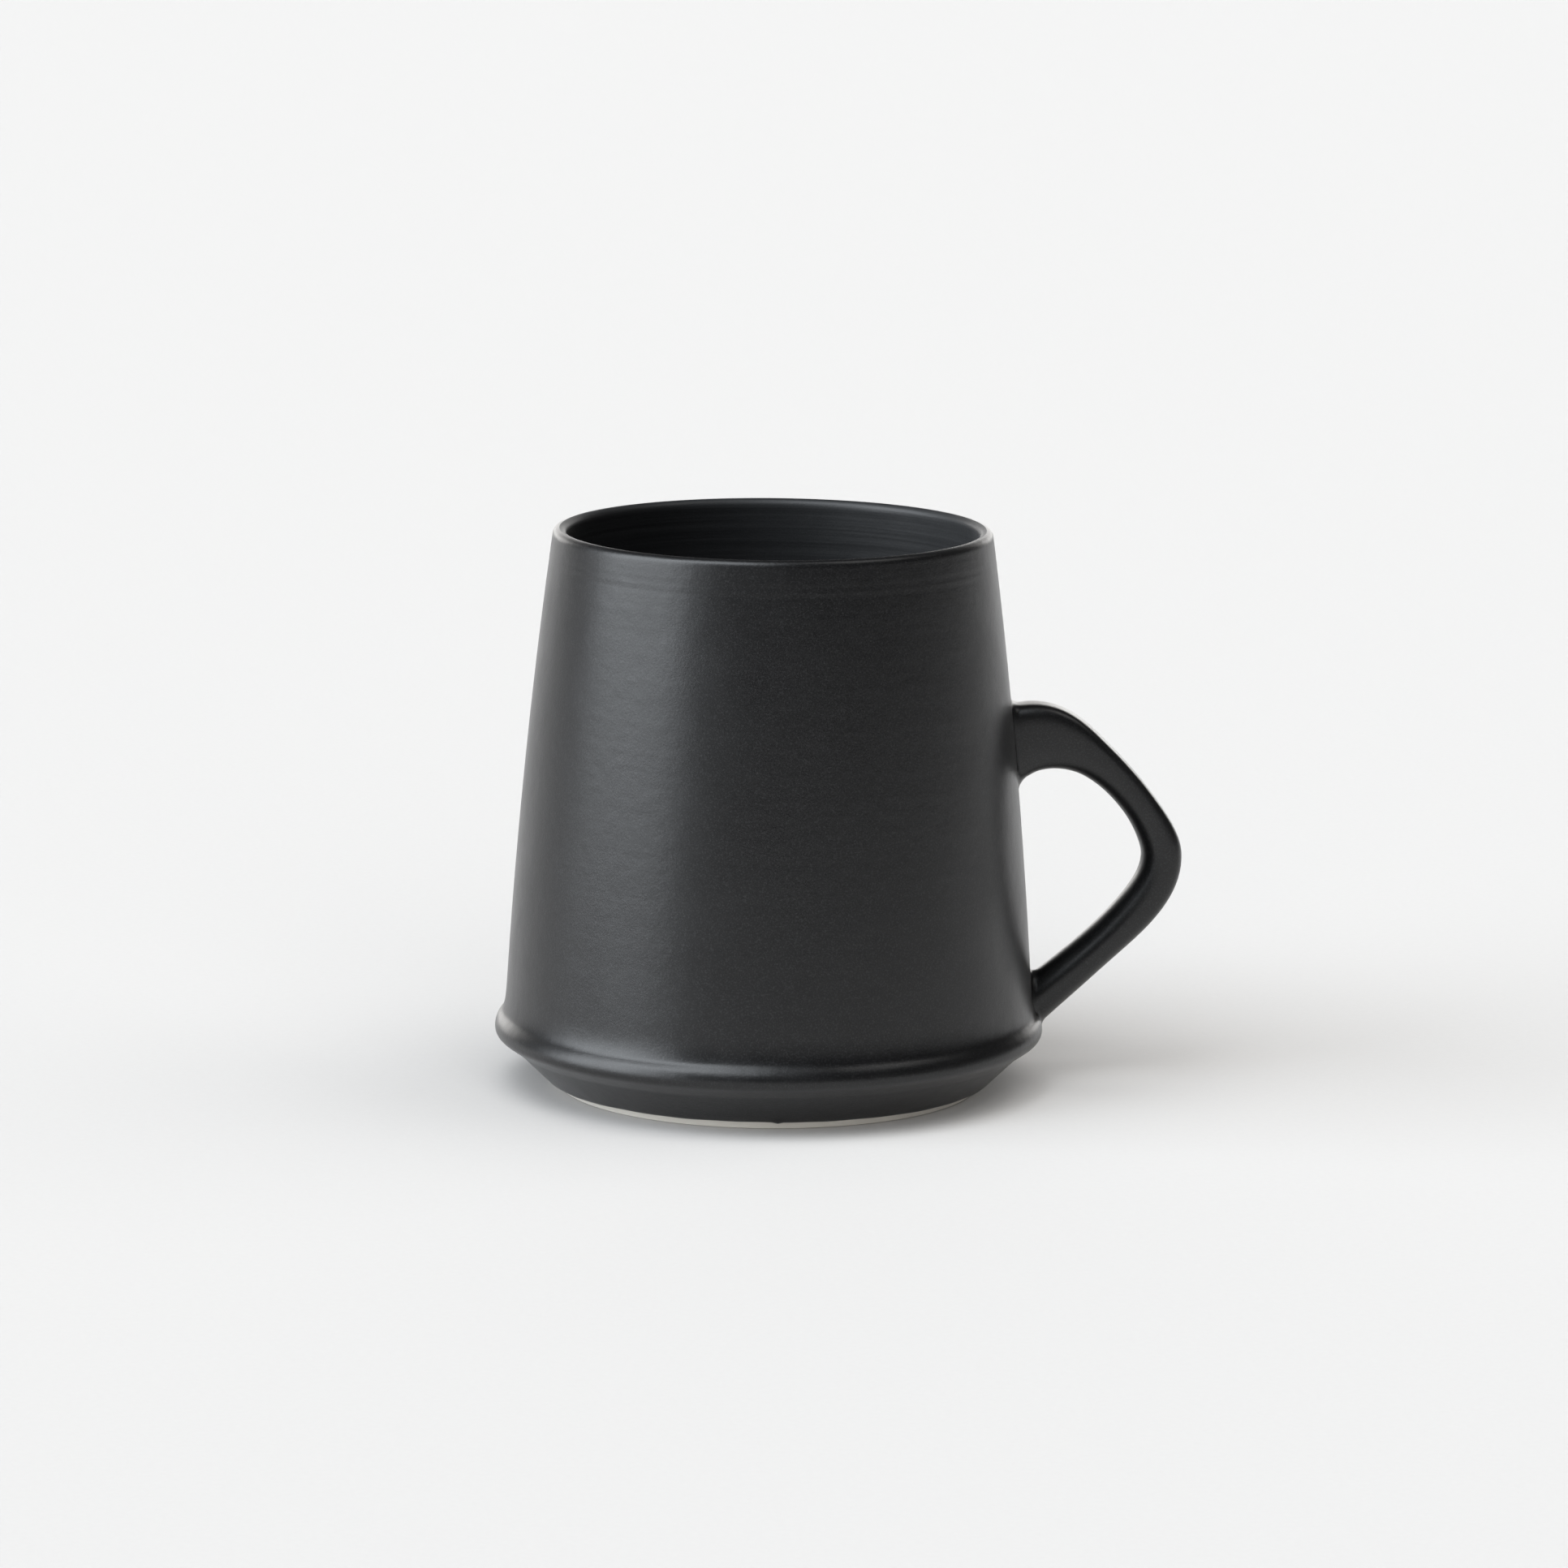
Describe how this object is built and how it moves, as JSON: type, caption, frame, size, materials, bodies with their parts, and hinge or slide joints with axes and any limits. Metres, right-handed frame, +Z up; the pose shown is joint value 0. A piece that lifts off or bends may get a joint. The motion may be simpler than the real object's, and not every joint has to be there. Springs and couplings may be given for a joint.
{
  "type": "mug",
  "caption": "Tapered hand-thrown mug with a rolled shoulder above an undercut foot, a bare clay foot edge and an angular strap handle.",
  "frame": {"origin": "centre of the bounding box's bottom face, on the surface the mug stands on; the mug's own axis is at x = -11.68 mm", "axes": "+Z up along the mug's axis, +X toward the handle, +Y away from a viewer who has the handle on the right"},
  "size_m": [0.1172, 0.0938, 0.096],
  "materials": {
    "black_glaze": "satin black glaze",
    "liner_glaze": "satin black glaze, smoother inside",
    "bare_clay": "matte fired clay, off-white",
    "joining_slip": "matte fired slip"
  },
  "bodies": {
    "root": {"clay_body": "bare_clay", "handle": "bare_clay", "upper_slip_joint": "joining_slip", "lower_slip_joint": "joining_slip", "outer_glaze": "black_glaze", "inner_glaze": "liner_glaze", "handle_glaze": "black_glaze"}
  },
  "joints": []
}
